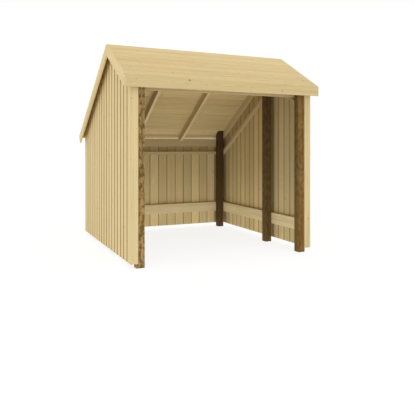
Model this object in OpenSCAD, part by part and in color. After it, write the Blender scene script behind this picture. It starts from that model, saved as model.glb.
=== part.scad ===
// Open-fronted timber bike shelter with a double-pitched roof.
// The ridge lies near the front, so the back slope is long and low.
// Millimetres, +Z up. The origin is on the ground, at the middle of the
// roof's plan. The open front faces -Y and the left side is at -X.

/* [Walls] */
// Width over the outer faces of the side cladding
wall_width = 2200; // [1800:10:3000]
// Depth from the face of the front corner trims to the outer face of the back cladding
wall_depth = 2360; // [2000:10:3000]
// Clearance between the ground and the bottom of the cladding
ground_gap = 50; // [20:5:90]
// Thickness of the wall cladding
board_t = 20; // [15:1:28]

/* [Posts] */
// Side of the square posts
post_w = 90; // [70:5:120]
// Bevel along the posts' long edges
post_bevel = 4; // [2:1:10]

/* [Rails] */
// Thickness of the rails between posts and cladding
rail_t = 45; // [30:1:60]
// Height of the lower rails' boards
lower_rail_h = 140; // [95:5:170]
// Height of the lower rails' bottom edge above the ground
lower_rail_z = 238; // [150:1:350]
// Height of the narrow upper rail on the back wall
upper_rail_h = 45; // [30:1:70]
// Gap between that upper rail and the back beam above it
upper_rail_gap = 76; // [40:1:150]
// Depth of the sloping side rails, square to their length
side_rail_h = 45; // [35:1:70]
// Plumb distance from the roof surface down to the sloping side rails
side_rail_drop = 312; // [260:1:340]

/* [Beams and rafters] */
// Thickness of the three beams
beam_t = 45; // [38:1:60]
// Height of the front and back beams
beam_h = 120; // [95:5:140]
// Height of the ridge beam at its peak
ridge_beam_h = 145; // [120:5:200]
// Thickness of the inner rafters
rafter_t = 38; // [30:1:60]
// Depth of the inner rafters, square to their length
rafter_h = 95; // [85:5:120]
// Depth of the outer rafters, square to their length
outer_rafter_h = 80; // [75:5:120]
// Plumb depth of the inner rafters' notches over the front and back beams
rafter_notch = 37; // [25:1:45]

/* [Roof] */
// Height of the ridge above the ground
ridge_height = 2418; // [2300:1:2600]
// Distance from the face of the front corner trims back to the ridge
ridge_back = 750; // [600:10:900]
// Pitch of the short front slope in degrees
front_pitch = 29.5; // [25:0.5:35]
// Pitch of the long back slope in degrees
back_pitch = 31.5; // [25:0.5:35]
// Thickness of the roof boards
roof_t = 18; // [15:1:22]
// Reach of the roof past the side cladding
side_overhang = 75; // [50:5:120]
// Reach of the fascia's face in front of the corner trims
front_overhang = 60; // [40:5:100]
// Reach of the back eave past the back cladding
back_overhang = 50; // [30:5:100]
// Thickness of the barge boards and the fascia
edge_t = 20; // [15:1:28]
// Height of the barge boards, square to the slope, and of the fascia
edge_h = 110; // [90:5:140]

/* [Corner trims] */
// Width of the front corner trims
trim_w = 80; // [75:1:110]
// Thickness of the front corner trims
trim_t = 20; // [15:1:28]

/* [Hidden] */

board_color = [0.80, 0.70, 0.49];
frame_color = [0.72, 0.62, 0.42];
post_color = [0.42, 0.30, 0.16];

// Plan lines, measured from the left cladding face and from the trims' face
frame_x = board_t + rail_t;
front_beam_y = trim_t + post_w;
middle_post_y = ridge_back + beam_t / 2;
back_rail_y = wall_depth - board_t - rail_t;
back_post_y = back_rail_y - post_w;
fascia_back_y = edge_t - front_overhang;
eave_y = wall_depth + back_overhang;

// The origin of the part, from the corner that the plan lines start at
origin_x = wall_width / 2;
origin_y = (eave_y - front_overhang) / 2;

// Plumb depth from the roof surface to the inner rafters' undersides
front_rafter_low = front_plumb(roof_t + rafter_h);
back_rafter_low = back_plumb(roof_t + rafter_h);

// Heights that seat one piece on another
front_beam_top = roof_z(front_beam_y) - front_rafter_low + rafter_notch;
back_beam_top = roof_z(back_rail_y) - back_rafter_low + rafter_notch;
upper_rail_z = back_beam_top - beam_h - upper_rail_gap - upper_rail_h;
fascia_bottom = roof_z(-front_overhang) - edge_h;

// Rafters are numbered from the left, one over each side frame and two between
rafter_count = 4;
first_rafter_x = board_t + rail_t / 2;
rafter_step = (wall_width - 2 * first_rafter_x) / (rafter_count - 1);

// A plumb line this long reaches past the roof and the ground
reach = ridge_height + wall_depth;

// Height of the roof's top surface at plan depth y
function roof_z(y) = y < ridge_back
    ? ridge_height - (ridge_back - y) * tan(front_pitch)
    : ridge_height - (y - ridge_back) * tan(back_pitch);

// Plumb size of a layer that is t thick square to each slope
function front_plumb(t) = t / cos(front_pitch);
function back_plumb(t) = t / cos(back_pitch);

// Outer rafters line up with the side rails and meet at the ridge. Inner ones
// are thinner and deeper, and stop at the ridge beam.
function is_outer(i) = i == 1 || i == rafter_count;
function rafter_w(i) = is_outer(i) ? rail_t : rafter_t;
function rafter_low(i) = roof_t + (is_outer(i) ? outer_rafter_h : rafter_h);
function rafter_x(i) = first_rafter_x + (i - 1) * rafter_step - rafter_w(i) / 2;
function ridge_gap(i) = is_outer(i) ? 0 : beam_t / 2;

// Moves plan coordinates to the part's own origin
module place() {
    translate([-origin_x, -origin_y, 0]) children();
}

// Puts a left-hand piece on the left side, or its mirror image on the right
module on_side(right) {
    if (right)
        translate([wall_width, 0, 0]) mirror([1, 0, 0]) children();
    else
        children();
}

// Extrudes a side-view profile, drawn as depth and height, from x to x + w
module across(x, w) {
    translate([x, 0, 0]) rotate([90, 0, 90]) linear_extrude(w) children();
}

// Side view of everything at least front_drop and back_drop below the roof's top
module below_roof(front_drop, back_drop) {
    intersection() {
        polygon([
            [ridge_back - reach, ridge_height - front_drop - reach * tan(front_pitch)],
            [ridge_back + reach, ridge_height - front_drop + reach * tan(front_pitch)],
            [ridge_back + reach, -2 * reach], [ridge_back - reach, -2 * reach]
        ]);
        polygon([
            [ridge_back - reach, ridge_height - back_drop + reach * tan(back_pitch)],
            [ridge_back + reach, ridge_height - back_drop - reach * tan(back_pitch)],
            [ridge_back + reach, -2 * reach], [ridge_back - reach, -2 * reach]
        ]);
    }
}

// Side view of an upright that stands from z up to the roof boards
module under_boards(y, z, depth) {
    intersection() {
        translate([y, z]) square([depth, reach]);
        below_roof(front_plumb(roof_t), back_plumb(roof_t));
    }
}

// Side view of a layer that follows the roof between two depths below it
module roof_layer(y, y_end, front_top, front_low, back_top, back_low) {
    intersection() {
        translate([y, 0]) square([y_end - y, reach]);
        difference() {
            below_roof(front_top, back_top);
            below_roof(front_low, back_low);
        }
    }
}

// Plan of a post with eased edges
module post_section() {
    half = post_w / 2;
    flat = half - post_bevel;
    polygon([
        [half, -flat], [half, flat], [flat, half], [-flat, half],
        [-half, flat], [-half, -flat], [-flat, -half], [flat, -half]
    ]);
}

// Square post, its head cut to the roof's slope
module post(right, y) {
    color(post_color) place() on_side(right) intersection() {
        translate([frame_x + post_w / 2, y + post_w / 2, 0])
            linear_extrude(reach) post_section();
        across(frame_x, post_w) under_boards(y, 0, post_w);
    }
}

// Side cladding, from behind the corner trim to the back face
module side_wall(right) {
    color(board_color) place() on_side(right) across(0, board_t)
        under_boards(trim_t, ground_gap, wall_depth - trim_t);
}

// Back cladding between the side walls, level with the back beam's top
module back_wall() {
    color(board_color) place()
        translate([board_t, wall_depth - board_t, ground_gap])
            cube([wall_width - 2 * board_t, board_t, back_beam_top - ground_gap]);
}

// Trim over the front ends of the cladding and rails, up to the roof boards
module corner_trim(right) {
    color(board_color) place() on_side(right) across(0, trim_w)
        under_boards(0, ground_gap, trim_t);
}

// Level rail on the outer faces of the side posts
module side_lower_rail(right) {
    color(frame_color) place() on_side(right)
        translate([board_t, trim_t, lower_rail_z])
            cube([rail_t, back_rail_y - trim_t, lower_rail_h]);
}

// Level timber across the whole width between the side walls
module cross_timber(y, z, thickness, height) {
    color(frame_color) place()
        translate([board_t, y, z]) cube([wall_width - 2 * board_t, thickness, height]);
}

// Sloping rail that follows one roof slope along a side wall
module side_rail(right, y, y_end) {
    color(frame_color) place() on_side(right) across(board_t, rail_t)
        roof_layer(
            y, y_end, side_rail_drop, side_rail_drop + front_plumb(side_rail_h),
            side_rail_drop, side_rail_drop + back_plumb(side_rail_h)
        );
}

// Beam on the faces of the middle posts, its top planed to both slopes
module ridge_beam() {
    color(frame_color) place() across(frame_x, wall_width - 2 * frame_x)
        under_boards(ridge_back - beam_t / 2, ridge_height - ridge_beam_h, beam_t);
}

// Side view of rafter i between two plan depths
module rafter_side(i, y, y_end) {
    roof_layer(
        y, y_end, front_plumb(roof_t), front_plumb(rafter_low(i)),
        back_plumb(roof_t), back_plumb(rafter_low(i))
    );
}

// Side view of what is cut away so that tails end level with the fascia
module below_fascia() {
    translate([fascia_back_y, 0]) square([front_overhang, fascia_bottom]);
}

// Rafter of the front slope: plumb at the ridge and notched over the front beam.
// Inner ones run on to the fascia, where their tails are cut level.
module front_rafter(i) {
    color(frame_color) place() across(rafter_x(i), rafter_w(i)) difference() {
        rafter_side(i, is_outer(i) ? trim_t : fascia_back_y, ridge_back - ridge_gap(i));
        translate([front_beam_y, 0]) square([beam_t, front_beam_top]);
        below_fascia();
    }
}

// Rafter of the back slope: plumb at the ridge, its foot seated on the back beam
// and on the cladding's top edge
module back_rafter(i) {
    color(frame_color) place() across(rafter_x(i), rafter_w(i)) difference() {
        rafter_side(i, ridge_back + ridge_gap(i), wall_depth);
        translate([back_rail_y, 0]) square([rail_t + board_t, back_beam_top]);
    }
}

// Side view of a strip along the back slope, its lower end cut square
module back_strip(depth) {
    eave_z = roof_z(eave_y);
    polygon([
        [ridge_back, ridge_height],
        [eave_y, eave_z],
        [eave_y - depth * sin(back_pitch), eave_z - depth * cos(back_pitch)],
        [ridge_back, ridge_height - back_plumb(depth)]
    ]);
}

// Side view of a strip along the front slope, plumb where it meets the fascia
module front_strip(depth) {
    difference() {
        polygon([
            [ridge_back, ridge_height],
            [fascia_back_y, roof_z(fascia_back_y)],
            [fascia_back_y, roof_z(fascia_back_y) - front_plumb(depth)],
            [ridge_back, ridge_height - front_plumb(depth)]
        ]);
        below_fascia();
    }
}

// Roof boards of one slope, between the barge boards
module roof_boards() {
    color(board_color) place()
        across(edge_t - side_overhang, wall_width + 2 * (side_overhang - edge_t)) children();
}

// Barge board along one verge, mitred plumb at the ridge
module barge(right) {
    color(board_color) place() on_side(right) across(-side_overhang, edge_t) children();
}

// Fascia across the front ends of the roof boards and barge boards
module front_fascia() {
    color(board_color) place() across(-side_overhang, wall_width + 2 * side_overhang)
        polygon([
            [-front_overhang, roof_z(-front_overhang)],
            [fascia_back_y, roof_z(fascia_back_y)],
            [fascia_back_y, fascia_bottom], [-front_overhang, fascia_bottom]
        ]);
}

post(false, trim_t);  // front_left_post
post(true, trim_t);  // front_right_post
post(false, middle_post_y);  // middle_left_post
post(true, middle_post_y);  // middle_right_post
post(false, back_post_y);  // back_left_post
post(true, back_post_y);  // back_right_post
side_wall(false);  // left_wall
side_wall(true);  // right_wall
back_wall();
corner_trim(false);  // left_trim
corner_trim(true);  // right_trim
side_lower_rail(false);  // left_lower_rail
side_lower_rail(true);  // right_lower_rail
cross_timber(back_rail_y, lower_rail_z, rail_t, lower_rail_h);  // back_lower_rail
cross_timber(back_rail_y, upper_rail_z, rail_t, upper_rail_h);  // back_upper_rail
side_rail(false, trim_t, ridge_back);  // front_left_side_rail
side_rail(true, trim_t, ridge_back);  // front_right_side_rail
side_rail(false, ridge_back, back_rail_y);  // back_left_side_rail
side_rail(true, ridge_back, back_rail_y);  // back_right_side_rail
cross_timber(front_beam_y, front_beam_top - beam_h, beam_t, beam_h);  // front_beam
ridge_beam();
cross_timber(back_rail_y, back_beam_top - beam_h, rail_t, beam_h);  // back_beam
front_rafter(1);  // front_rafter_1
front_rafter(2);  // front_rafter_2
front_rafter(3);  // front_rafter_3
front_rafter(4);  // front_rafter_4
back_rafter(1);  // back_rafter_1
back_rafter(2);  // back_rafter_2
back_rafter(3);  // back_rafter_3
back_rafter(4);  // back_rafter_4
roof_boards() front_strip(roof_t);  // front_roof
roof_boards() back_strip(roof_t);  // back_roof
barge(false) front_strip(edge_h);  // front_left_barge
barge(true) front_strip(edge_h);  // front_right_barge
barge(false) back_strip(edge_h);  // back_left_barge
barge(true) back_strip(edge_h);  // back_right_barge
front_fascia();
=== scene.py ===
"""Bike shelter: every board, timber and nail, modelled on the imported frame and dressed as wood."""

import logging
import math
import random
from collections.abc import Callable
from dataclasses import dataclass, field, replace
from enum import Enum

import bmesh
import bpy
from mathutils import Matrix, Vector


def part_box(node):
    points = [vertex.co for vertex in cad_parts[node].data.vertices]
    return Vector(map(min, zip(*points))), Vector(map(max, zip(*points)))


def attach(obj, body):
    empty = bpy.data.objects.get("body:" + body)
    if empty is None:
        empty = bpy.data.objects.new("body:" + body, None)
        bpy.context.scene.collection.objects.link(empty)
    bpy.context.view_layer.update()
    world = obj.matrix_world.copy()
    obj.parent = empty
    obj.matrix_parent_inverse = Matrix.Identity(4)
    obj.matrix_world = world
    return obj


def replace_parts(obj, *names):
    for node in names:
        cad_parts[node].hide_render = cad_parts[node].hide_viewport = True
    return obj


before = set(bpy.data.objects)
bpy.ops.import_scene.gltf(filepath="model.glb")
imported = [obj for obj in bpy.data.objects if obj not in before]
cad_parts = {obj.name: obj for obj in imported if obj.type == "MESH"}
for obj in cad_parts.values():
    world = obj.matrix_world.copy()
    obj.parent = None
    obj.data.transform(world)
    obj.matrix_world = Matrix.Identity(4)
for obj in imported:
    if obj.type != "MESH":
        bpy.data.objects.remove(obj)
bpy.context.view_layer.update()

LOG = logging.getLogger("bike_shelter")
MM = 0.001
NEAR = 0.1 * MM
BODY = "root"
RAFTERS = range(1, 5)
WHITE = (1.0, 1.0, 1.0, 1.0)

UP = Vector((0.0, 0.0, 1.0))
RIGHTWARD = Vector((1.0, 0.0, 0.0))
BACKWARD = Vector((0.0, 1.0, 0.0))

Shape = bmesh.types.BMesh
Material = bpy.types.Material
Rgb = tuple[float, float, float]
Range = tuple[float, float]


class Slot(Enum):
    """The record's material slots."""

    POSTS = "posts"
    CLADDING = "cladding"
    TRIMS = "trims"
    FRAME = "frame"
    ROOF = "roof_boards"


class Placed(Enum):
    """A choice whose name is also a word in the names of the frame's nodes."""

    @property
    def word(self) -> str:
        """The word that stands in those names."""
        return self.name.lower()


class Side(Placed):
    """The two sides of the shelter, as the sign of X."""

    LEFT = -1
    RIGHT = 1


class Slope(Placed):
    """The two roof slopes, as the sign of Y that they fall towards."""

    FRONT = -1
    BACK = 1


def linear(red: int, green: int, blue: int) -> Rgb:
    """Turns a colour as it is seen on a screen into the shader's linear light.

    Args:
        red, green, blue: Screen values from 0 to 255.

    Returns:
        The three linear values from 0 to 1.
    """

    def channel(value: int) -> float:
        """Decodes one channel."""
        share = value / 255.0
        return share / 12.92 if share <= 0.04045 else ((share + 0.055) / 1.055) ** 2.4

    return channel(red), channel(green), channel(blue)


def math_method(operation: str, reflected: bool = False) -> Callable[..., "Signal"]:
    """Makes a method that works out a value with one Math node.

    Args:
        operation: Blender's name for what the node does.
        reflected: Whether the method's own signal comes second.

    Returns:
        The method.
    """

    def method(self: "Signal", *others: "Signal | float") -> "Signal":
        """Adds the node over the signal and the other values."""
        values = (*others, self) if reflected else (self, *others)
        return self.shader.node("ShaderNodeMath", {"operation": operation}, dict(enumerate(values)))

    return method


class Signal:
    """One output of a shader tree that takes part in Python arithmetic.

    Besides the operators it has the larger of two values, a test that is 1 where
    the value is under a limit, the part after the decimal point and the root.
    """

    def __init__(self, shader: "Shader", socket: bpy.types.NodeSocket) -> None:
        """Wraps a socket of the shader's tree."""
        self.shader = shader
        self.socket = socket

    __add__ = math_method("ADD")
    __radd__ = math_method("ADD", reflected=True)
    __sub__ = math_method("SUBTRACT")
    __rsub__ = math_method("SUBTRACT", reflected=True)
    __mul__ = math_method("MULTIPLY")
    __rmul__ = math_method("MULTIPLY", reflected=True)
    __truediv__ = math_method("DIVIDE")
    __rtruediv__ = math_method("DIVIDE", reflected=True)
    __abs__ = math_method("ABSOLUTE")
    or_more = math_method("MAXIMUM")
    below = math_method("LESS_THAN")
    fraction = math_method("FRACT")
    root = math_method("SQRT")

    def span(self, low: float, high: float = 1.0) -> "Signal":
        """Makes a value that goes from 0 to 1 go from low to high."""
        return self * (high - low) + low

    def step(self, start: float, end: float) -> "Signal":
        """Smooth rise from 0 at start to 1 at end, or a fall where end is less.

        Args:
            start: Value at which the result is 0.
            end: Value at which the result is 1.

        Returns:
            The signal that goes from 0 to 1.
        """
        if start > end:
            return 1.0 - self.step(end, start)
        settings = {"interpolation_type": "SMOOTHSTEP"}
        inputs = {"Value": self, "From Min": start, "From Max": end}
        return self.shader.node("ShaderNodeMapRange", settings, inputs)


class Shader:
    """The node tree of a material or of the world."""

    def __init__(self, owner: Material | bpy.types.World) -> None:
        """Starts with an empty tree.

        Args:
            owner: What the tree belongs to.
        """
        owner.use_nodes = True
        self.owner = owner
        self.tree = owner.node_tree
        self.tree.nodes.clear()

    def node(
        self,
        kind: str,
        settings: dict[str, object] | None = None,
        inputs: dict[str | int, object] | None = None,
        output: str | int = 0,
    ) -> Signal:
        """Adds a node of any type.

        Args:
            kind: Blender's name for the node type.
            settings: Properties that are set first.
            inputs: Values or signals for the input sockets, by name or number.
            output: The output socket that is wanted.

        Returns:
            The signal of that output.
        """
        made = self.tree.nodes.new(kind)
        for name, value in (settings or {}).items():
            setattr(made, name, value)
        for key, value in (inputs or {}).items():
            if isinstance(value, Signal):
                self.tree.links.new(value.socket, made.inputs[key])
            else:
                made.inputs[key].default_value = value
        return Signal(self, made.outputs[output])

    def stored(self, name: str, output: str = "Vector") -> Signal:
        """Reads what was stored on the mesh's points under that name."""
        return self.node("ShaderNodeAttribute", {"attribute_name": name}, output=output)

    def split(self, vector: Signal) -> tuple[Signal, Signal, Signal]:
        """Takes a vector apart into its three values."""
        made = self.node("ShaderNodeSeparateXYZ", inputs={0: vector}).socket.node
        return tuple(Signal(self, output) for output in made.outputs)

    def join(self, x: Signal | float, y: Signal | float, z: Signal | float = 0.0) -> Signal:
        """Makes a vector of three values."""
        return self.node("ShaderNodeCombineXYZ", inputs={0: x, 1: y, 2: z})

    def stretch(self, vector: Signal, factors: Rgb) -> Signal:
        """Multiplies a vector by three factors."""
        settings = {"operation": "MULTIPLY"}
        return self.node("ShaderNodeVectorMath", settings, {0: vector, 1: factors})

    def tint(self, colour: Signal, factor: Signal) -> Signal:
        """Makes a colour brighter or darker by a factor."""
        inputs = {0: colour, "Scale": factor}
        return self.node("ShaderNodeVectorMath", {"operation": "SCALE"}, inputs)

    def noise(self, vector: Signal, detail: float = 2.0, roughness: float = 0.5) -> Signal:
        """Soft noise from 0 to 1, about one lump for each unit of the vector."""
        inputs = {"Vector": vector, "Scale": 1.0, "Detail": detail, "Roughness": roughness}
        return self.node("ShaderNodeTexNoise", {"noise_dimensions": "3D"}, inputs)

    def grained(
        self,
        place: Signal,
        along: float,
        across: float,
        detail: float = 2.0,
        roughness: float = 0.5,
    ) -> Signal:
        """Noise with so many lumps to a metre along the fibres and so many across them."""
        return self.noise(self.stretch(place, (along, across, across)), detail, roughness)

    def mix(self, first: "Signal | Rgb", second: "Signal | Rgb", share: Signal | float) -> Signal:
        """Blends two colours.

        Args:
            first: Colour where the share is 0.
            second: Colour where the share is 1.
            share: How much of the second shows.

        Returns:
            The blended colour.
        """

        def paint(value: "Signal | Rgb") -> object:
            """A signal as it is, or a colour with its alpha."""
            return value if isinstance(value, Signal) else (*value, 1.0)

        settings = {"data_type": "RGBA", "clamp_factor": True}
        inputs = {0: share, 6: paint(first), 7: paint(second)}
        return self.node("ShaderNodeMix", settings, inputs, output=2)

    def finish(self, surface: Signal) -> Material | bpy.types.World:
        """Ends the tree.

        Args:
            surface: The shader that shows on the surface.

        Returns:
            The material or world that the tree belongs to.
        """
        is_world = isinstance(self.owner, bpy.types.World)
        output = self.tree.nodes.new(f"ShaderNodeOutput{'World' if is_world else 'Material'}")
        self.tree.links.new(surface.socket, output.inputs["Surface"])
        return self.owner


@dataclass(frozen=True)
class WoodFinish:
    """Softwood cut from one kind of log. Lengths are in metres.

    The mesh's "grain" gives each point's place in its log: along the trunk, and
    across it from the pith in two directions. "tone" gives each timber its own
    shade, warmth and age, each from 0 to 1. "seam" is 1 inside a joint between
    boards, where the grooves get painted shade, and 0 on their faces. "weather"
    is 1 on the outer faces, which the sun has faded to one even tone. On the inner
    rafters' undersides it is painted light, and on the front posts' front faces it
    is partly fading in the sun and partly painted light. Inner faces also get
    painted shade under the roof, darker higher up, and where a shade map puts it.
    """

    name: str
    pale: Rgb
    late: Rgb
    warm: Rgb
    aged: Rgb
    knot: Rgb
    # painted shade: the dark colour laid into the joints' grooves and wherever shadow is painted on
    # the inner faces
    stain_and_painted_shade: Rgb = linear(150, 116, 46)
    level: float = 0.98
    contrast: float = 0.5
    ring: float = 0.0045
    wander: float = 0.020
    wave: Range = (1.1, 7.0)
    bend: float = 0.09
    sway: float = 0.10
    swirl: float = 0.012
    knot_share: float = 0.35
    knot_radius: float = 0.009
    knot_spacing: Range = (0.42, 0.12)
    streak_shade: float = 0.6
    rim_shade: float = 0.35
    knot_shade: float = 0.8
    # how strongly the joints' grooves are painted with shade
    joint_painted_shade: float = 0.95
    fibre_shade: float = 0.16
    patch_shade: float = 0.10
    own_shade: Range = (0.07, 0.18)
    # painted shade on the inner faces under the roof, setting in between these heights
    under_roof_painted_shade: float = 0.15
    shelter_height: Range = (0.25, 1.15)
    figure: float = 0.0
    crack: float = 0.0
    crack_depth: float = 1.5 * MM
    ring_relief: float = 0.25 * MM
    fibre_relief: float = 0.22 * MM
    knot_relief: float = 0.4 * MM
    roughness: Range = (0.58, 0.78)
    knot_gloss: float = 0.12
    sheen: float = 0.25

    def dress(self, painted_shade_map: "Dust | None" = None) -> Material:
        """Builds the material, as layers of colour over the pale wood.

        Args:
            painted_shade_map: Where shadow is painted on the inner faces, if anywhere.

        Returns:
            The finished wood material.
        """
        shader = Shader(bpy.data.materials.new(self.name))
        place = shader.node("ShaderNodeTexCoord", output="Object")
        grain = shader.stored("grain")
        shade, warmth, age = shader.split(shader.stored("tone"))
        # 1 where the wood shows its full tone: not faded by the sun and not painted paler as if lit
        full_tone = 1.0 - shader.stored("weather", output="Fac")
        knot, rim, swirl = self._knots(shader, grain)
        late = self._rings(shader, grain, swirl)
        fibre = shader.grained(grain, 5.0, 420.0, detail=3.0, roughness=0.6)
        streak = shader.grained(grain, 0.7, 26.0, detail=4.0, roughness=0.6)
        patch = shader.grained(grain, 1.6, 2.4, detail=3.0, roughness=0.55)
        # painted shade: the joints' grooves, and the inner faces where the shade map puts shadow,
        # are painted darker
        painted_shade = shader.stored("seam", output="Fac").step(0.0, 0.25) * self.joint_painted_shade
        if painted_shade_map is not None:
            painted_shade = painted_shade.or_more(painted_shade_map.mask(shader, place) * full_tone)
        height = late * self.ring_relief + fibre * self.fibre_relief + knot * self.knot_relief

        dark = [late * self.contrast, streak.step(0.46, 0.72) * self.streak_shade]
        if self.figure > 0.0:
            blotch = shader.grained(grain, 16.0, 24.0, detail=3.0, roughness=0.55)
            dark.append(blotch.step(0.44, 0.58) * self.figure)
        layers = [(self.late, share) for share in dark]
        layers += [
            (self.warm, warmth * full_tone.span(0.3) * patch.step(0.25, 0.60)),
            (self.aged, age * full_tone.span(0.1)),
            (self.knot, rim * self.rim_shade),
            (self.knot, knot * self.knot_shade),
            (self.stain_and_painted_shade, painted_shade),
        ]
        if self.crack > 0.0:
            crack = self._cracks(shader, grain)
            layers.append((self.knot, crack * self.knot_shade))
            height = height - crack * self.crack_depth
        colour = self.pale
        for paint, share in layers:
            colour = shader.mix(colour, paint, share)

        own = (shade - 0.5) * full_tone.span(*self.own_shade)
        uneven = (fibre - 0.5) * self.fibre_shade + (patch - 0.5) * self.patch_shade
        # painted shade: the inner faces are painted darker higher up under the roof
        sheltered = shader.split(place)[2].step(*self.shelter_height) * full_tone
        brightness = (self.level + own + uneven) * (1.0 - sheltered * self.under_roof_painted_shade)
        inputs = {"Strength": 1.0, "Distance": 1.0, "Height": height}
        normal = shader.node("ShaderNodeBump", inputs=inputs)
        inputs = {
            "Base Color": shader.tint(colour, brightness),
            "Roughness": fibre.span(*self.roughness) - knot * self.knot_gloss,
            "Specular IOR Level": self.sheen,
            "Normal": normal,
        }
        return shader.finish(shader.node("ShaderNodeBsdfPrincipled", inputs=inputs))

    def _rings(self, shader: Shader, grain: Signal, swirl: Signal) -> Signal:
        """Growth rings: 0 in the pale early wood, 1 in the thin dark late wood.

        Args:
            shader: The tree that the nodes go into.
            grain: Place in the log.
            swirl: The knots' pull on the rings.

        Returns:
            The signal that goes up through each ring.
        """
        along, across, depth = shader.split(grain)
        drift = shader.grained(grain, *self.wave, detail=3.0) - 0.5
        bend = shader.noise(shader.join(along * 0.55, 3.7)) - 0.5
        sway = shader.noise(shader.join(along * 0.45, 9.2)) - 0.5
        side = across + sway * self.sway
        down = depth + bend * self.bend
        from_pith = (side * side + down * down).root()
        phase = (from_pith + drift * self.wander + swirl * self.swirl) / self.ring
        turn = phase.fraction()
        strength = shader.noise(shader.join(phase * 0.45, along * 0.4), 1.0).step(0.25, 0.70)
        return turn.step(0.30, 0.92) * turn.step(1.0, 0.95) * strength.span(0.35)

    def _knots(self, shader: Shader, grain: Signal) -> tuple[Signal, Signal, Signal]:
        """Scatters knots over the log.

        Args:
            shader: The tree that the nodes go into.
            grain: Place in the log.

        Returns:
            The knot itself, the stained rim round it, and the pull on the rings.
        """
        along, across, _ = shader.split(grain)
        pitch_along, pitch_across = self.knot_spacing
        cell = shader.join(along / pitch_along, across / pitch_across)
        settings = {"voronoi_dimensions": "2D", "feature": "F1"}
        inputs = {"Vector": cell, "Scale": 1.0, "Randomness": 0.6}
        centre = shader.node("ShaderNodeTexVoronoi", settings, inputs, output="Position")
        chance = Signal(shader, centre.socket.node.outputs["Color"])
        draw, size, strength = shader.split(chance)
        settings = {"operation": "SUBTRACT"}
        offset = shader.node("ShaderNodeVectorMath", settings, {0: cell, 1: centre})
        x, y, _ = shader.split(shader.stretch(offset, (pitch_along * 0.8, pitch_across, 0.0)))
        distance = (x * x + y * y).root() / (size.span(0.3) * self.knot_radius)
        present = draw.below(self.knot_share)
        depth = present * strength.span(0.3)
        knot = distance.step(1.2, 0.7) * depth
        rim = distance.step(2.4, 0.9) * depth
        swirl = distance.step(2.6, 0.0) * present
        return knot, rim, swirl

    def _cracks(self, shader: Shader, grain: Signal) -> Signal:
        """Drying cracks: thin lines along the fibres, in patches.

        Args:
            shader: The tree that the nodes go into.
            grain: Place in the log.

        Returns:
            The signal that is highest in a crack.
        """
        lines = shader.grained(grain, 0.9, 34.0)
        where = shader.grained(grain, 0.8, 9.0, detail=1.0)
        return abs(lines - 0.5).step(0.012, 0.003) * where.step(0.50, 0.62) * self.crack


@dataclass(frozen=True)
class NailFinish:
    """Galvanised steel with a little dull staining."""

    name: str = "galvanised_nails"
    bright: Rgb = linear(160, 146, 116)
    dull: Rgb = linear(112, 92, 60)
    metal: float = 0.8
    roughness: Range = (0.38, 0.63)

    def dress(self) -> Material:
        """Builds the material.

        Returns:
            The finished steel material.
        """
        shader = Shader(bpy.data.materials.new(self.name))
        place = shader.node("ShaderNodeTexCoord", output="Object")
        stain_and_painted_shade = shader.grained(place, 180.0, 180.0, detail=3.0)
        scuff = shader.grained(place, 9.0, 9.0, detail=1.0)
        inputs = {
            "Base Color": shader.mix(self.bright, self.dull, stain_and_painted_shade.step(0.35, 0.7)),
            "Metallic": self.metal,
            "Roughness": scuff.span(*self.roughness),
        }
        return shader.finish(shader.node("ShaderNodeBsdfPrincipled", inputs=inputs))


CLADDING_WOOD = WoodFinish(
    name="cladding_pine",
    pale=linear(229, 208, 157),
    late=linear(206, 178, 120),
    warm=linear(213, 183, 124),
    aged=linear(185, 176, 130),
    knot=linear(136, 98, 54),
)
ROOF_WOOD = WoodFinish(
    name="roof_pine",
    pale=linear(226, 203, 150),
    late=linear(198, 169, 108),
    warm=linear(219, 186, 122),
    aged=linear(190, 174, 128),
    knot=linear(136, 98, 54),
    knot_share=0.5,
    joint_painted_shade=0.35,
    under_roof_painted_shade=0.05,
)
TRIM_WOOD = WoodFinish(
    name="trim_pine",
    pale=linear(225, 204, 154),
    late=linear(202, 174, 116),
    warm=linear(222, 190, 128),
    aged=linear(196, 170, 112),
    knot=linear(140, 102, 58),
    contrast=0.4,
    knot_share=0.5,
    knot_radius=0.008,
    knot_spacing=(0.20, 0.07),
)
FRAME_WOOD = WoodFinish(
    name="frame_spruce",
    pale=linear(232, 217, 173),
    late=linear(206, 180, 126),
    warm=linear(216, 188, 132),
    aged=linear(196, 174, 124),
    knot=linear(130, 94, 52),
    ring=0.0035,
    contrast=0.45,
    wander=0.014,
)
POST_WOOD = WoodFinish(
    name="post_brown_pine",
    pale=linear(186, 157, 100),
    late=linear(98, 70, 26),
    warm=linear(150, 108, 30),
    aged=linear(84, 64, 33),
    knot=linear(62, 42, 20),
    ring=0.014,
    contrast=0.9,
    wander=0.044,
    wave=(8.0, 12.0),
    knot_share=0.3,
    knot_radius=0.013,
    knot_spacing=(0.45, 0.10),
    figure=0.85,
    crack=1.0,
    sheen=0.2,
)


@dataclass(frozen=True)
class Cut:
    """Where in its log a timber was sawn, and its own shade."""

    offset: Vector
    tone: Vector


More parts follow.
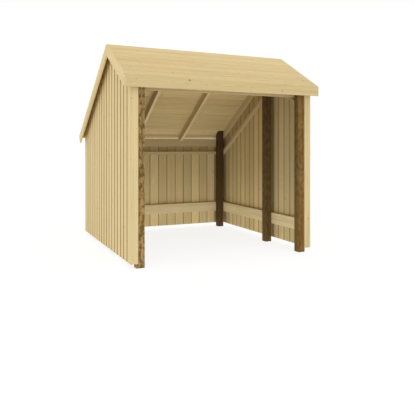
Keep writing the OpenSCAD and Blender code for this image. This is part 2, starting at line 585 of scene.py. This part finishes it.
class Sawmill:
    """Draws a different cut for each timber, the same ones on every run."""

    def __init__(self, seed: int) -> None:
        """Starts the seeded draw."""
        self.draw = random.Random(seed)

    def cut(
        self,
        pith: float = 0.045,
        spread: float = 0.03,
        centre: float = 0.0,
        warmth: Range = (0.0, 0.3),
        age: Range = (0.0, 0.0),
    ) -> Cut:
        """Saws one timber.

        Args:
            pith: Usual distance from the pith to the timber's face, in metres.
            spread: Most that the pith lies to one side of the timber's middle.
            centre: Place of that middle in the timber's own frame.
            warmth: Least and most that the timber leans to the warm colour.
            age: Least and most that it has darkened.

        Returns:
            The place in the log and the shade.
        """
        along = self.draw.uniform(0.0, 60.0)
        across = self.draw.uniform(-spread, spread) - centre
        depth = pith * self.draw.uniform(0.8, 1.6)
        shade = self.draw.random()
        tone = Vector((shade, self.draw.uniform(*warmth), self.draw.uniform(*age)))
        return Cut(Vector((along, across, depth)), tone)


@dataclass(frozen=True)
class Axes:
    """A timber's own frame: its origin and the directions it is measured in."""

    origin: Vector
    along: Vector
    across: Vector
    depth: Vector

    def matrix(self) -> Matrix:
        """The matrix from the timber's frame to the shelter's."""
        turn = Matrix((self.along, self.across, self.depth)).transposed()
        return Matrix.Translation(self.origin) @ turn.to_4x4()


def show(
    name: str,
    shape: Shape,
    material: Material,
    slot: Slot | None = None,
) -> bpy.types.Object:
    """Makes an object of a shape and puts it in the scene.

    Args:
        name: The object's name.
        shape: The finished shape. It is used up.
        material: Its finish.
        slot: The record's slot for it, or None for a piece of the stage. Only whether one is given
            is used: then the object is attached to the shelter's body.

    Returns:
        The object.
    """
    mesh = bpy.data.meshes.new(name)
    shape.to_mesh(mesh)
    shape.free()
    mesh.materials.append(material)
    made = bpy.data.objects.new(name, mesh)
    bpy.context.scene.collection.objects.link(made)
    if slot is not None:
        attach(made, BODY)
    LOG.info("%s: %d faces", name, len(mesh.polygons))
    return made


class Stack:
    """Timbers gathered into one mesh, each with its own grain."""

    def __init__(self, name: str) -> None:
        """Starts an empty stack."""
        self.name = name
        self.gathered = bmesh.new()

    def take(
        self,
        piece: Shape,
        axes: Axes,
        cut: Cut,
        marks: Callable[[Vector], tuple[float, float]],
    ) -> None:
        """Marks a finished timber's grain and adds it to the stack.

        Args:
            piece: The timber in the shelter's frame. It is used up.
            axes: The timber's own frame.
            cut: Its place in the log and its shade.
            marks: "seam" and "weather" of a point, from its place in the timber's frame.
        """
        layers = piece.verts.layers
        grain, tone = [layers.float_vector.new(name) for name in ("grain", "tone")]
        seam, weather = [layers.float.new(name) for name in ("seam", "weather")]
        inward = axes.matrix().inverted()
        for point in piece.verts:
            place = inward @ point.co
            point[grain] = place + cut.offset
            point[tone] = cut.tone
            point[seam], point[weather] = marks(place)
        sheet = bpy.data.meshes.new("timber")
        piece.to_mesh(sheet)
        piece.free()
        self.gathered.from_mesh(sheet)
        bpy.data.meshes.remove(sheet)

    def finish(self, material: Material, slot: Slot, node: str) -> None:
        """Makes the object, which takes the place of the frame's node."""
        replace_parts(show(self.name, self.gathered, material, slot), node)


@dataclass(frozen=True)
class Easing:
    """How one face of a board slopes off to its joints, in metres.

    On the walls' outer faces the slope is long on the tongued edge and short on
    the grooved one.
    """

    tongued: float
    grooved: float
    depth: float


@dataclass(frozen=True)
class Board:
    """A tongued and grooved board. Sizes are in metres.

    The foot is the strip of painted shade along the bottom of the tongued edge's outer slope.
    """

    cover: float
    thickness: float
    length: float
    outer: Easing
    inner: Easing
    gap: float = 3.0 * MM
    tongue: float = 7.0 * MM
    tongue_share: float = 0.32
    foot: float = 8.0 * MM
    slack: float = 0.3 * MM
    has_tongue: bool = True
    has_groove: bool = True

    @property
    def low(self) -> float:
        """Place of the grooved edge across the board."""
        return self.gap / 2.0 if self.has_groove else 0.0

    @property
    def high(self) -> float:
        """Place of the tongued edge across the board."""
        return self.cover - self.gap / 2.0 if self.has_tongue else self.cover

    def profile(self) -> list[tuple[float, float]]:
        """Draws the section, once round from the grooved edge of the outer face.

        Returns:
            Places across the board and into its thickness.
        """
        low, high, back = self.low, self.high, self.thickness
        middle = back / 2.0
        half = back * self.tongue_share / 2.0
        outer, inner = self.outer, self.inner
        points = [(low, 0.0), (high, 0.0), (high, back), (low, back)]
        if self.has_tongue:
            tip = high + self.tongue
            foot = min(self.foot, outer.tongued / 2.0)
            points[1:3] = [
                (high - outer.tongued, 0.0),
                (high - foot, outer.depth * (1.0 - foot / outer.tongued)),
                (high, outer.depth),
                (high, middle - half),
                (tip, middle - half),
                (tip, middle + half),
                (high, middle + half),
                (high, back - inner.depth),
                (high - inner.tongued, back),
            ]
        if self.has_groove:
            floor = low + self.tongue + self.slack
            points[-1:] = [
                (low + inner.grooved, back),
                (low, back - inner.depth),
                (low, middle + half + self.slack),
                (floor, middle + half + self.slack),
                (floor, middle - half - self.slack),
                (low, middle - half - self.slack),
                (low, outer.depth),
            ]
            points[0] = (low + outer.grooved, 0.0)
        return points

    def build(self, axes: Axes) -> Shape:
        """Extrudes the section along the board.

        Args:
            axes: The board's own frame.

        Returns:
            The board in the shelter's frame.
        """
        piece = bmesh.new()
        outline = [piece.verts.new((0.0, across, depth)) for across, depth in self.profile()]
        end = piece.faces.new(outline)
        grown = bmesh.ops.extrude_face_region(piece, geom=[end])
        tips = [item for item in grown["geom"] if isinstance(item, bmesh.types.BMVert)]
        bmesh.ops.translate(piece, verts=tips, vec=(self.length, 0.0, 0.0))
        bmesh.ops.transform(piece, matrix=axes.matrix(), verts=piece.verts)
        bmesh.ops.recalc_face_normals(piece, faces=piece.faces)
        return piece

    def marks(self, place: Vector) -> tuple[float, float]:
        """Marks a point of the board.

        Args:
            place: The point in the board's frame.

        Returns:
            1 where it lies in a joint, or else 0, and 1 on the outer half, or else 0.
        """
        # the joint's mark sets where the grooves get painted shade
        in_groove = self.has_groove and place.y < self.low + NEAR
        sunk = self.outer.depth - NEAR < place.z < self.thickness - self.inner.depth - NEAR
        in_tongue = self.has_tongue and place.y > self.high - NEAR and sunk
        return float(in_groove or in_tongue), float(place.z < self.thickness / 2.0)


def saw(piece: Shape, point: Vector, normal: Vector) -> None:
    """Saws off what lies beyond a plane and closes the cut.

    Args:
        piece: The timber.
        point: A point on the plane.
        normal: The direction of the waste.
    """
    everything = [*piece.verts, *piece.edges, *piece.faces]
    done = bmesh.ops.bisect_plane(
        piece, geom=everything, plane_co=point, plane_no=normal, clear_outer=True
    )
    rim = [item for item in done["geom_cut"] if isinstance(item, bmesh.types.BMEdge)]
    if rim:
        bmesh.ops.edgenet_fill(piece, edges=rim)
        bmesh.ops.recalc_face_normals(piece, faces=piece.faces)


def softened(node: str, edge: float) -> Shape:
    """Copies a timber of the frame with its edges eased.

    Args:
        node: The frame's node.
        edge: Width of the rounding on its edges, in metres.

    Returns:
        The copy, in the shelter's frame.
    """
    weld = 0.02 * MM
    flat = math.radians(1.0)
    corner = math.radians(20.0)
    piece = bmesh.new()
    piece.from_mesh(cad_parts[node].data)
    bmesh.ops.remove_doubles(piece, verts=piece.verts, dist=weld)
    bmesh.ops.dissolve_limit(piece, angle_limit=flat, verts=piece.verts, edges=piece.edges)
    bmesh.ops.bevel(
        piece,
        geom=[line for line in piece.edges if line.calc_face_angle(0.0) > corner],
        offset=edge,
        affect="EDGES",
        segments=2,
        profile=0.5,
        material=-1,
        clamp_overlap=True,
    )
    return piece


def plane_back(piece: Shape, outward: Vector, depth: float) -> None:
    """Planes a timber's outermost face back a little, to make room for nail heads.

    Args:
        piece: The timber.
        outward: The face's direction.
        depth: How much is planed off, in metres.
    """
    limit = max(point.co.dot(outward) for point in piece.verts) - depth
    for point in piece.verts:
        beyond = point.co.dot(outward) - limit
        if beyond > 0.0:
            point.co -= outward * beyond


def middle(node: str) -> Vector:
    """The middle of a node's box."""
    low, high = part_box(node)
    return (low + high) / 2.0


def corners(node: str) -> list[Vector]:
    """The points of a node's mesh."""
    return [point.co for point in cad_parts[node].data.vertices]


class Roof:
    """The two roof planes, worked out from the frame."""

    def __init__(self) -> None:
        """Reads the ridge, the pitches and the boards' thickness."""
        low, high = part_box("back_roof")
        self.ridge_y = low.y
        self.ridge_z = high.z
        self.pitch = {slope: self._pitch(slope) for slope in Slope}
        underside = min(self._heights_at_ridge("back_roof"))
        self.thickness = (self.ridge_z - underside) * math.cos(self.pitch[Slope.BACK])

    def _heights_at_ridge(self, node: str) -> list[float]:
        """Heights of a sloping piece's corners that lie plumb below the ridge."""
        return [point.z for point in corners(node) if abs(point.y - self.ridge_y) < NEAR]

    def _pitch(self, slope: Slope) -> float:
        """Works out the pitch of a slope from the top edge of its eave.

        Args:
            slope: The slope.

        Returns:
            The pitch in radians.
        """
        points = corners(f"{slope.word}_roof")
        eave = max(points, key=lambda point: (round(slope.value * point.y, 5), point.z))
        return math.atan2(self.ridge_z - eave.z, abs(eave.y - self.ridge_y))

    def fall(self, slope: Slope) -> Vector:
        """Unit vector down the slope."""
        pitch = self.pitch[slope]
        return Vector((0.0, slope.value * math.cos(pitch), -math.sin(pitch)))

    def outward(self, slope: Slope) -> Vector:
        """Unit vector square out of the slope."""
        pitch = self.pitch[slope]
        return Vector((0.0, slope.value * math.sin(pitch), math.cos(pitch)))

    def ridge(self, x: float = 0.0) -> Vector:
        """The point of the ridge at x."""
        return Vector((x, self.ridge_y, self.ridge_z))

    def surface_z(self, y: float) -> float:
        """Height of the roof's top surface at y."""
        slope = Slope.FRONT if y < self.ridge_y else Slope.BACK
        return self.ridge_z - abs(y - self.ridge_y) * math.tan(self.pitch[slope])

    def drop_range(self, node: str) -> Range:
        """Plumb distances from the roof's surface to the top and bottom of what follows it."""
        heights = self._heights_at_ridge(node)
        return self.ridge_z - max(heights), self.ridge_z - min(heights)

    def centre_drop(self, node: str) -> float:
        """Plumb distance from the roof's surface to the middle of what follows it."""
        return sum(self.drop_range(node)) / 2.0

    def trim_under(self, piece: Shape) -> None:
        """Saws a timber to the underside of the roof boards on both slopes."""
        for slope in Slope:
            saw(piece, self.ridge() - self.outward(slope) * self.thickness, self.outward(slope))


@dataclass(frozen=True)
class Dust:
    """Finds where shadow is painted on the inner faces: over the rails, under the back beam, in the
    strips below the rafters and the back beam, behind the posts and under the verges.

    The skin gives how far short of a wall's inner face it sets in, and is full.
    """

    roof: Roof
    reach: float = 22.0 * MM
    skin: Range = (9.0 * MM, 1.0 * MM)
    verge: float = 3.0 * MM
    soft: float = 2.0 * MM
    ledge_share: float = 0.55
    post_share: float = 0.45
    strip_share: float = 0.3

    def mask(self, shader: Shader, place: Signal) -> Signal:
        """Says how much painted shade a point gets.

        Args:
            shader: The tree that the nodes go into.
            place: The point in the shelter's frame.

        Returns:
            The share of painted shade from 0 to 1.
        """
        x, y, z = shader.split(place)
        beyond = abs(x)
        start, full = self.skin
        side_low, side_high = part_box("right_wall")
        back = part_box("back_wall")[0].y
        # painted shade on the roof boards' underside beyond the side walls, under the verges
        verge = beyond.step(side_high.x - self.verge, side_high.x)
        by_side = beyond.step(side_low.x - start, side_low.x - full)
        by_back = y.step(back - start, back - full)

        lower_low, lower_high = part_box("back_lower_rail")
        upper_low, upper_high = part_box("back_upper_rail")
        beam_low, beam_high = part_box("back_beam")
        rail_top, rail_foot = self.roof.drop_range("back_right_side_rail")
        rafter_foot = self.roof.drop_range(f"back_rafter_{RAFTERS[-1]}")[1]
        height = 0.0 - self._drop(y, z)
        # painted shadow on the walls over the rails and under the back beam
        ledges = self._ledge(z, upper_low.z, upper_high.z)
        ledges = ledges.or_more(self._ledge(0.0 - z, -beam_high.z, -beam_low.z)) * by_back
        ledges = ledges.or_more(self._ledge(z, lower_low.z, lower_high.z))
        ledges = ledges.or_more(self._ledge(height, -rail_foot, -rail_top) * by_side)
        # painted shade in the strips between the sloping rails and the rafters, and between the back
        # upper rail and the beam
        strips = self._between(height, -rail_top, -rafter_foot) * by_side
        strips = strips.or_more(self._between(z, upper_high.z, beam_low.z) * by_back)
        dull = (ledges * self.ledge_share).or_more(strips * self.strip_share)
        # painted shadow on the walls behind the posts
        behind = self._behind_posts(beyond, y, by_side, by_back) * self.post_share
        return verge.or_more(dull).or_more(behind)

    def _drop(self, y: Signal, z: Signal) -> Signal:
        """Works out how far below the roof's top surface a point lies.

        Args:
            y, z: The point's place.

        Returns:
            The plumb distance in metres.
        """
        front, back = [math.tan(self.roof.pitch[slope]) for slope in Slope]
        steepness = y.below(self.roof.ridge_y).span(back, front)
        return self.roof.ridge_z - z - abs(y - self.roof.ridge_y) * steepness

    def _between(self, value: Signal, low: float, high: float) -> Signal:
        """1 between two limits, with a soft change at each."""
        return value.step(low - self.soft, low) * value.step(high + self.soft, high)

    def _ledge(self, height: Signal, low: float, top: float) -> Signal:
        """Painted shadow: 1 at the top of a rail, fading out over the reach above it.

        Heights that count downwards give the same below a beam.
        """
        return height.step(low, low + self.reach) * height.step(top + self.reach, top)

    def _behind_posts(
        self, beyond: Signal, y: Signal, by_side: Signal, by_back: Signal
    ) -> Signal:
        """Finds where a post hides a wall from the daylight, where a shadow is painted.

        Args:
            beyond: The point's distance from the shelter's middle plane.
            y: The point's place along the shelter.
            by_side: 1 on the side walls.
            by_back: 1 on the back wall.

        Returns:
            1 behind a post, and else 0.
        """
        low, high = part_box("back_right_post")
        behind = self._between(beyond, low.x, high.x) * by_back
        for row in ("front", "middle"):
            low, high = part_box(f"{row}_right_post")
            behind = behind.or_more(self._between(y, low.y, high.y) * by_side)
        return behind


@dataclass(frozen=True)
class Nails:
    """Round nail heads on one face, gathered into one mesh. Sizes are in metres."""

    node: str
    points: list[Vector]
    outward: Vector
    radius: float = 3.0 * MM
    crown: float = 0.75
    proud: float = 0.5 * MM
    depth: float = 1.5 * MM

    def build(self, material: Material, slot: Slot) -> None:
        """Models a head at every point.

        Args:
            material: The steel.
            slot: The record's slot of the timber that the nails hold.
        """
        heads = bmesh.new()
        turn = UP.rotation_difference(self.outward).to_matrix().to_4x4()
        sunk = self.outward * (self.proud - self.depth / 2.0)
        for point in self.points:
            bmesh.ops.create_cone(
                heads,
                cap_ends=True,
                segments=10,
                radius1=self.radius,
                radius2=self.radius * self.crown,
                depth=self.depth,
                matrix=Matrix.Translation(point + sunk) @ turn,
            )
        show(f"{self.node}_nails", heads, material, slot)


@dataclass
class Boarding:
    """Boards side by side in the place of one solid, nailed near both of their edges."""

    roof: Roof
    mill: Sawmill
    wood: Material
    steel: Material
    kind: str = "boards"
    slot: Slot = Slot.CLADDING
    warmth: Range = (0.0, 0.7)
    age: Range = (0.0, 0.5)
    nail_inset: float = 28.0 * MM

    def _lay(
        self,
        node: str,
        axes: Axes,
        width: float,
        board: Board,
        trim: Callable[[Shape], None],
        spots: Callable[[Vector], list[Vector]],
    ) -> None:
        """Lays the boards and drives their nails.

        Args:
            node: The frame's node of the solid.
            axes: The first board's frame, at a corner of the outer face.
            width: What all the boards cover together.
            board: One board, with about the cover that it gets.
            trim: Saws a board to the shape of its place.
            spots: The nails of one edge, from where that edge starts.
        """
        count = round(width / board.cover)
        cover = width / count
        stack = Stack(f"{node}_{self.kind}")
        nails = []
        for place in range(count):
            own = replace(axes, origin=axes.origin + axes.across * (place * cover))
            fitted = replace(board, cover=cover, has_tongue=place < count - 1, has_groove=place > 0)
            piece = fitted.build(own)
            trim(piece)
            cut = self.mill.cut(centre=cover / 2.0, warmth=self.warmth, age=self.age)
            stack.take(piece, own, cut, fitted.marks)
            for offset in (self.nail_inset, cover - self.nail_inset):
                nails += spots(own.origin + own.across * offset)
        stack.finish(self.wood, self.slot, node)
        Nails(node, nails, -axes.depth).build(self.steel, self.slot)


@dataclass
class Cladding(Boarding):
    """The three walls of vertical boards."""

    side_cover: float = 130.0 * MM
    back_cover: float = 135.0 * MM
    outer: Easing = Easing(tongued=26.0 * MM, grooved=8.0 * MM, depth=7.0 * MM)
    side_inner: Easing = Easing(tongued=9.0 * MM, grooved=7.0 * MM, depth=4.5 * MM)
    back_inner: Easing = Easing(tongued=4.5 * MM, grooved=5.0 * MM, depth=4.5 * MM)
    rail_inset: float = 30.0 * MM

    def build(self) -> None:
        """Builds the walls and their nails."""
        for side in Side:
            self._side(side)
        self._back()

    def _side(self, side: Side) -> None:
        """Builds one side wall, nailed to its two rails and its outer rafter.

        Args:
            side: Where it stands.
        """
        low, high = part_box(f"{side.word}_wall")
        rafter = RAFTERS[0] if side is Side.LEFT else RAFTERS[-1]
        slanted = (f"back_{side.word}_side_rail", f"back_rafter_{rafter}")
        drops = [self.roof.centre_drop(node) for node in slanted]
        rail = self._rail_levels(f"{side.word}_lower_rail")
        corner = Vector((low.x if side is Side.LEFT else high.x, low.y, low.z))
        self._wall(
            f"{side.word}_wall",
            Axes(corner, UP, BACKWARD, RIGHTWARD * -side.value),
            self.side_cover,
            self.side_inner,
            lambda y: rail + [self.roof.surface_z(y) - drop for drop in drops],
        )

    def _back(self) -> None:
        """Builds the back wall, nailed to its two rails and the back beam."""
        low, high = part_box("back_wall")
        rails = ("back_lower_rail", "back_upper_rail", "back_beam")
        heights = [level for rail in rails for level in self._rail_levels(rail)]
        axes = Axes(Vector((low.x, high.y, low.z)), UP, RIGHTWARD, -BACKWARD)
        self._wall("back_wall", axes, self.back_cover, self.back_inner, lambda y: heights)

    def _rail_levels(self, rail: str) -> list[float]:
        """Finds where nails go into a level rail.

        Args:
            rail: The rail's node.

        Returns:
            Two heights where the rail is wide, and else one.
        """
        low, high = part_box(rail)
        if high.z - low.z < 3.0 * self.rail_inset:
            return [middle(rail).z]
        return [low.z + self.rail_inset, high.z - self.rail_inset]

    def _wall(
        self,
        node: str,
        axes: Axes,
        cover: float,
        inner: Easing,
        levels: Callable[[float], list[float]],
    ) -> None:
        """Builds one wall, sawn off under the roof.

        Args:
            node: The frame's node of the wall.
            axes: The first board's frame, at the bottom corner of the wall's outer face.
            cover: About the width that one board covers.
            inner: How its inner face is eased.
            levels: Heights of the nails at a depth y.
        """
        low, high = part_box(node)
        size = high - low
        self._lay(
            node,
            axes,
            abs(size.dot(axes.across)),
            Board(cover, abs(size.dot(axes.depth)), size.z, self.outer, inner),
            self.roof.trim_under,
            lambda point: [Vector((point.x, point.y, level)) for level in levels(point.y)],
        )


@dataclass
class RoofBoards(Boarding):
    """The boards of both slopes, laid parallel to the ridge."""

    kind: str = "planks"
    slot: Slot = Slot.ROOF
    warmth: Range = (0.0, 0.6)
    age: Range = (0.0, 0.3)
    cover: float = 130.0 * MM
    top: Easing = Easing(tongued=1.5 * MM, grooved=1.5 * MM, depth=1.5 * MM)
    under: Easing = Easing(tongued=4.0 * MM, grooved=4.0 * MM, depth=3.5 * MM)
    gap: float = 1.5 * MM

    def build(self) -> None:
        """Builds both slopes and their nails."""
        for slope in Slope:
            self._slope(slope)

    def _slope(self, slope: Slope) -> None:
        """Lays one slope from the eave up to the ridge, nailed to every rafter.

        Args:
            slope: The slope.
        """
        node = f"{slope.word}_roof"
        roof = self.roof
        low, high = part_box(node)
        eave = Vector((0.0, low.y if slope is Slope.FRONT else high.y, 0.0))
        pitch = roof.pitch[slope]
        run = abs(eave.y - roof.ridge_y) / math.cos(pitch) + roof.thickness * math.tan(pitch)
        fall = roof.fall(slope)
        rafters = [middle(f"back_rafter_{number}").x for number in RAFTERS]

        def trim(piece: Shape) -> None:
            """Saws a board plumb at the ridge and at the eave."""
            saw(piece, roof.ridge(), BACKWARD * -slope.value)
            saw(piece, eave, BACKWARD * slope.value)

        self._lay(
            node,
            Axes(roof.ridge(low.x) + fall * run, RIGHTWARD, -fall, -roof.outward(slope)),
            run,
            Board(self.cover, roof.thickness, high.x - low.x, self.top, self.under, self.gap),
            trim,
            lambda point: [Vector((x, point.y, point.z)) for x in rafters],
        )


@dataclass
class Timbers:
    """Posts, rails, beams and rafters, eased copies of the frame's solids."""

    roof: Roof
    mill: Sawmill
    planed: float = 0.6 * MM
    rim: float = 1.0 * MM

    def build(self, post: Material, rail: Material) -> None:
        """Builds every structural timber."""
        self._posts(post)
        self._rails(rail)

    def place(
        self,
        node: str,
        along: Vector,
        material: Material,
        slot: Slot,
        cut: Cut,
        edge: float = 2.5 * MM,
        nailed: Vector | None = None,
        weather: Callable[[Vector], float] = lambda place: 0.0,
    ) -> None:
        """Copies one solid, marks its grain and dresses it.

        Every timber's wide faces look across the shelter or along it, and its
        depth is measured square to them, so that knots show as round on them.

        Args:
            node: The frame's node.
            along: Direction of its fibres.
            material: Its finish.
            slot: The record's slot.
            cut: Its place in the log.
            edge: Width of the rounding on its edges.
            nailed: Direction of a face that is planed back for nail heads.
            weather: How much a point is faded by the sun and painted paler as if lit, from its place
                in the timber's frame.
        """
        depth = RIGHTWARD if abs(along.y) > 0.5 else BACKWARD
        axes = Axes(middle(node), along, depth.cross(along), depth)
        piece = softened(node, edge)
        if nailed is not None:
            plane_back(piece, nailed, self.planed)
        stack = Stack(f"{node}_timber")
        stack.take(piece, axes, cut, lambda point: (0.0, weather(point)))
        stack.finish(material, slot, node)

    def _posts(self, wood: Material) -> None:
        """Builds the six posts. Those under cover are the darkest.

        A post stands with its depth along the shelter's, so a front post's front
        face has its points at a depth below 0, and that face is painted paler: partly fading in the
        sun, partly painted light.

        Args:
            wood: Their finish.
        """
        looks = {
            "front_left": (0.2, 0.2, 0.7),
            "front_right": (1.0, 0.78, 0.5),
            "middle_left": (0.2, 0.8, 0.0),
            "middle_right": (0.2, 0.8, 0.0),
            "back_left": (0.2, 1.0, 0.0),
            "back_right": (0.2, 1.0, 0.0),
        }
        for place, (warmth, age, lightened) in looks.items():
            self.place(
                f"{place}_post",
                UP,
                wood,
                Slot.POSTS,
                self.mill.cut(pith=0.03, warmth=(warmth, warmth), age=(age, age)),
                edge=1.5 * MM,
                # the front posts' front faces are painted paler: partly fading in the sun, partly
                # painted light
                weather=lambda point: lightened if point.z < 0.0 else 0.0,
            )

    def _rails(self, wood: Material) -> None:
        """Builds the rails, beams and rafters.

        The inner rafters' narrow faces, whose points lie inside their thickness,
        are painted paler: painted light, as if lit from below. The wide faces between them are not.

        Args:
            wood: Their finish.
        """
        level = ("back_lower_rail", "back_upper_rail", "front_beam", "ridge_beam", "back_beam")
        runs = dict.fromkeys(level, RIGHTWARD)
        for side in Side:
            runs[f"{side.word}_lower_rail"] = BACKWARD
        for slope in Slope:
            for side in Side:
                runs[f"{slope.word}_{side.word}_side_rail"] = self.roof.fall(slope)
            for number in RAFTERS:
                runs[f"{slope.word}_rafter_{number}"] = self.roof.fall(slope)
        for node, along in runs.items():
            warmth, age = (0.0, 0.3), (0.4, 0.8)
            if "lower_rail" in node:
                warmth, age = (0.0, 0.0), (0.2, 0.3) if along is RIGHTWARD else (0.0, 0.0)
            low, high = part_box(node)
            inside = (high.x - low.x) / 2.0 - self.rim
            # painted light: the inner rafters' undersides are painted paler, as if lit from below
            lightened = 1.0 if node.endswith(("rafter_2", "rafter_3")) else 0.0
            self.place(
                node,
                along,
                wood,
                Slot.FRAME,
                self.mill.cut(pith=0.05, spread=0.05, warmth=warmth, age=age),
                weather=lambda point: lightened if abs(point.z) < inside else 0.0,
            )


@dataclass
class EdgeBoards:
    """The corner trims, the barge boards and the fascia, with their nails."""

    timbers: Timbers
    wood: Material
    steel: Material
    edge: float = 1.5 * MM
    nail_inset: float = 20.0 * MM
    trim_rows: int = 5
    trim_ends: Range = (80.0 * MM, 120.0 * MM)
    barge_step: float = 0.4
    fascia_top: float = 40.0 * MM

    def build(self) -> None:
        """Builds every edge board."""
        for side in Side:
            self._trim(side)
            for slope in Slope:
                self._barge(side, slope)
        self._fascia()

    def _place(
        self, node: str, along: Vector, nailed: Vector | None = None, weather: float = 1.0
    ) -> None:
        """Builds one edge board.

        Args:
            node: The frame's node.
            along: Direction of its fibres.
            nailed: Direction of a face that is planed back for nail heads.
            weather: How bleached it is.
        """
        cut = self.timbers.mill.cut(pith=0.05, spread=0.04, age=(0.4, 0.8))
        self.timbers.place(
            node, along, self.wood, Slot.TRIMS, cut, self.edge, nailed, lambda point: weather
        )

    def _trim(self, side: Side) -> None:
        """Builds a corner trim, with pairs of nails up its height.

        Args:
            side: Where it stands.
        """
        node = f"{side.word}_trim"
        self._place(node, UP)
        low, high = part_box(node)
        first = low.z + self.trim_ends[0]
        last = high.z - self.trim_ends[1]
        nails = []
        for row in range(self.trim_rows):
            level = first + (last - first) * row / (self.trim_rows - 1)
            for x in (low.x + self.nail_inset, high.x - self.nail_inset):
                nails.append(Vector((x, low.y, level)))
        Nails(node, nails, -BACKWARD).build(self.steel, Slot.TRIMS)

    def _barge(self, side: Side, slope: Slope) -> None:
        """Builds a barge board, nailed into the ends of the roof boards.

        Args:
            side: The verge that it covers.
            slope: The slope that it follows.
        """
        node = f"{slope.word}_{side.word}_barge"
        outward = RIGHTWARD * side.value
        roof = self.timbers.roof
        self._place(node, roof.fall(slope), outward)
        low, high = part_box(node)
        face = (low.x if side is Side.LEFT else high.x) - side.value * self.timbers.planed
        run = (high.y - low.y) / math.cos(roof.pitch[slope])
        count = round(run / self.barge_step)
        start = roof.ridge(face) - roof.outward(slope) * (roof.thickness / 2.0)
        step = roof.fall(slope) * (run / count)
        nails = [start + step * (place + 0.5) for place in range(count)]
        Nails(node, nails, outward).build(self.steel, Slot.TRIMS)

    def _fascia(self) -> None:
        """Builds the fascia, nailed to the ends of the front slope's rafters."""
        node = "front_fascia"
        self._place(node, RIGHTWARD, -BACKWARD, weather=0.8)
        low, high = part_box(node)
        y = low.y + self.timbers.planed
        nails = []
        for number in RAFTERS:
            x = middle(f"front_rafter_{number}").x
            nails.append(Vector((x, y, low.z + self.nail_inset)))
            nails.append(Vector((x, y, high.z - self.fascia_top)))
        Nails(node, nails, -BACKWARD).build(self.steel, Slot.TRIMS)


@dataclass
class Studio:
    """The floor, the light and the camera."""

    camera_place: Vector = field(default_factory=lambda: Vector((-2.5311, -6.195, 1.2332)))
    camera_turn: float = 24.477
    lens: float = 44.22
    shift: float = -0.1433
    far: float = 200.0
    sky: float = 1.0
    glow: float = 1.1
    seen_share: float = 0.75
    lit_share: float = 0.8
    floor_reach: float = 60.0
    floor_colour: Rgb = (0.86, 0.86, 0.85)

    def build(self) -> None:
        """Sets the stage."""
        self._camera()
        self._sky()
        self._floor()
        bpy.context.scene.view_settings.view_transform = "Standard"

    def _camera(self) -> None:
        """Places the level camera."""
        data = bpy.data.cameras.new("camera")
        data.sensor_fit = "HORIZONTAL"
        data.sensor_width = 36.0
        data.lens = self.lens
        data.shift_y = self.shift
        data.clip_end = self.far
        camera = bpy.data.objects.new("camera", data)
        camera.location = self.camera_place
        camera.rotation_euler = (math.radians(90.0), 0.0, math.radians(-self.camera_turn))
        bpy.context.scene.collection.objects.link(camera)
        bpy.context.scene.camera = camera

    def _sky(self) -> None:
        """Soft light from all round, seen as white by the camera and in reflections."""
        shader = Shader(bpy.data.worlds.new("studio"))
        rays = ("Is Camera Ray", "Is Glossy Ray", "Is Transmission Ray")
        camera, glossy, through = [shader.node("ShaderNodeLightPath", output=ray) for ray in rays]
        light = shader.node("ShaderNodeBackground", inputs={"Color": WHITE, "Strength": self.sky})
        plain = shader.node("ShaderNodeBackground", inputs={"Color": WHITE, "Strength": 1.0})
        share = camera.or_more(glossy).or_more(through)
        both = shader.node("ShaderNodeMixShader", inputs={0: share, 1: light, 2: plain})
        bpy.context.scene.world = shader.finish(both)

    def _floor(self) -> None:
        """A pale floor that shows as white where nothing shades it."""
        shader = Shader(bpy.data.materials.new("pale_floor"))
        inputs = {"Color": (*self.floor_colour, 1.0), "Roughness": 0.5}
        matt = shader.node("ShaderNodeBsdfDiffuse", inputs=inputs)
        glow = shader.node("ShaderNodeEmission", inputs={"Color": WHITE, "Strength": self.glow})
        seen = shader.node("ShaderNodeLightPath", output="Is Camera Ray")
        share = seen.span(self.lit_share, self.seen_share)
        both = shader.node("ShaderNodeMixShader", inputs={0: share, 1: matt, 2: glow})
        sheet = bmesh.new()
        bmesh.ops.create_grid(sheet, x_segments=2, y_segments=2, size=self.floor_reach)
        show("floor", sheet, shader.finish(both))


def main() -> None:
    """Builds the shelter and its stage."""
    logging.basicConfig(level=logging.INFO, format="%(name)s %(message)s")
    Studio().build()
    roof = Roof()
    mill = Sawmill(seed=29)
    steel = NailFinish().dress()
    painted_shade_map = Dust(roof)
    Cladding(roof, mill, CLADDING_WOOD.dress(painted_shade_map), steel).build()
    RoofBoards(roof, mill, ROOF_WOOD.dress(painted_shade_map), steel).build()
    timbers = Timbers(roof, mill)
    timbers.build(POST_WOOD.dress(), FRAME_WOOD.dress())
    EdgeBoards(timbers, TRIM_WOOD.dress(), steel).build()


if __name__ == "__main__":
    main()
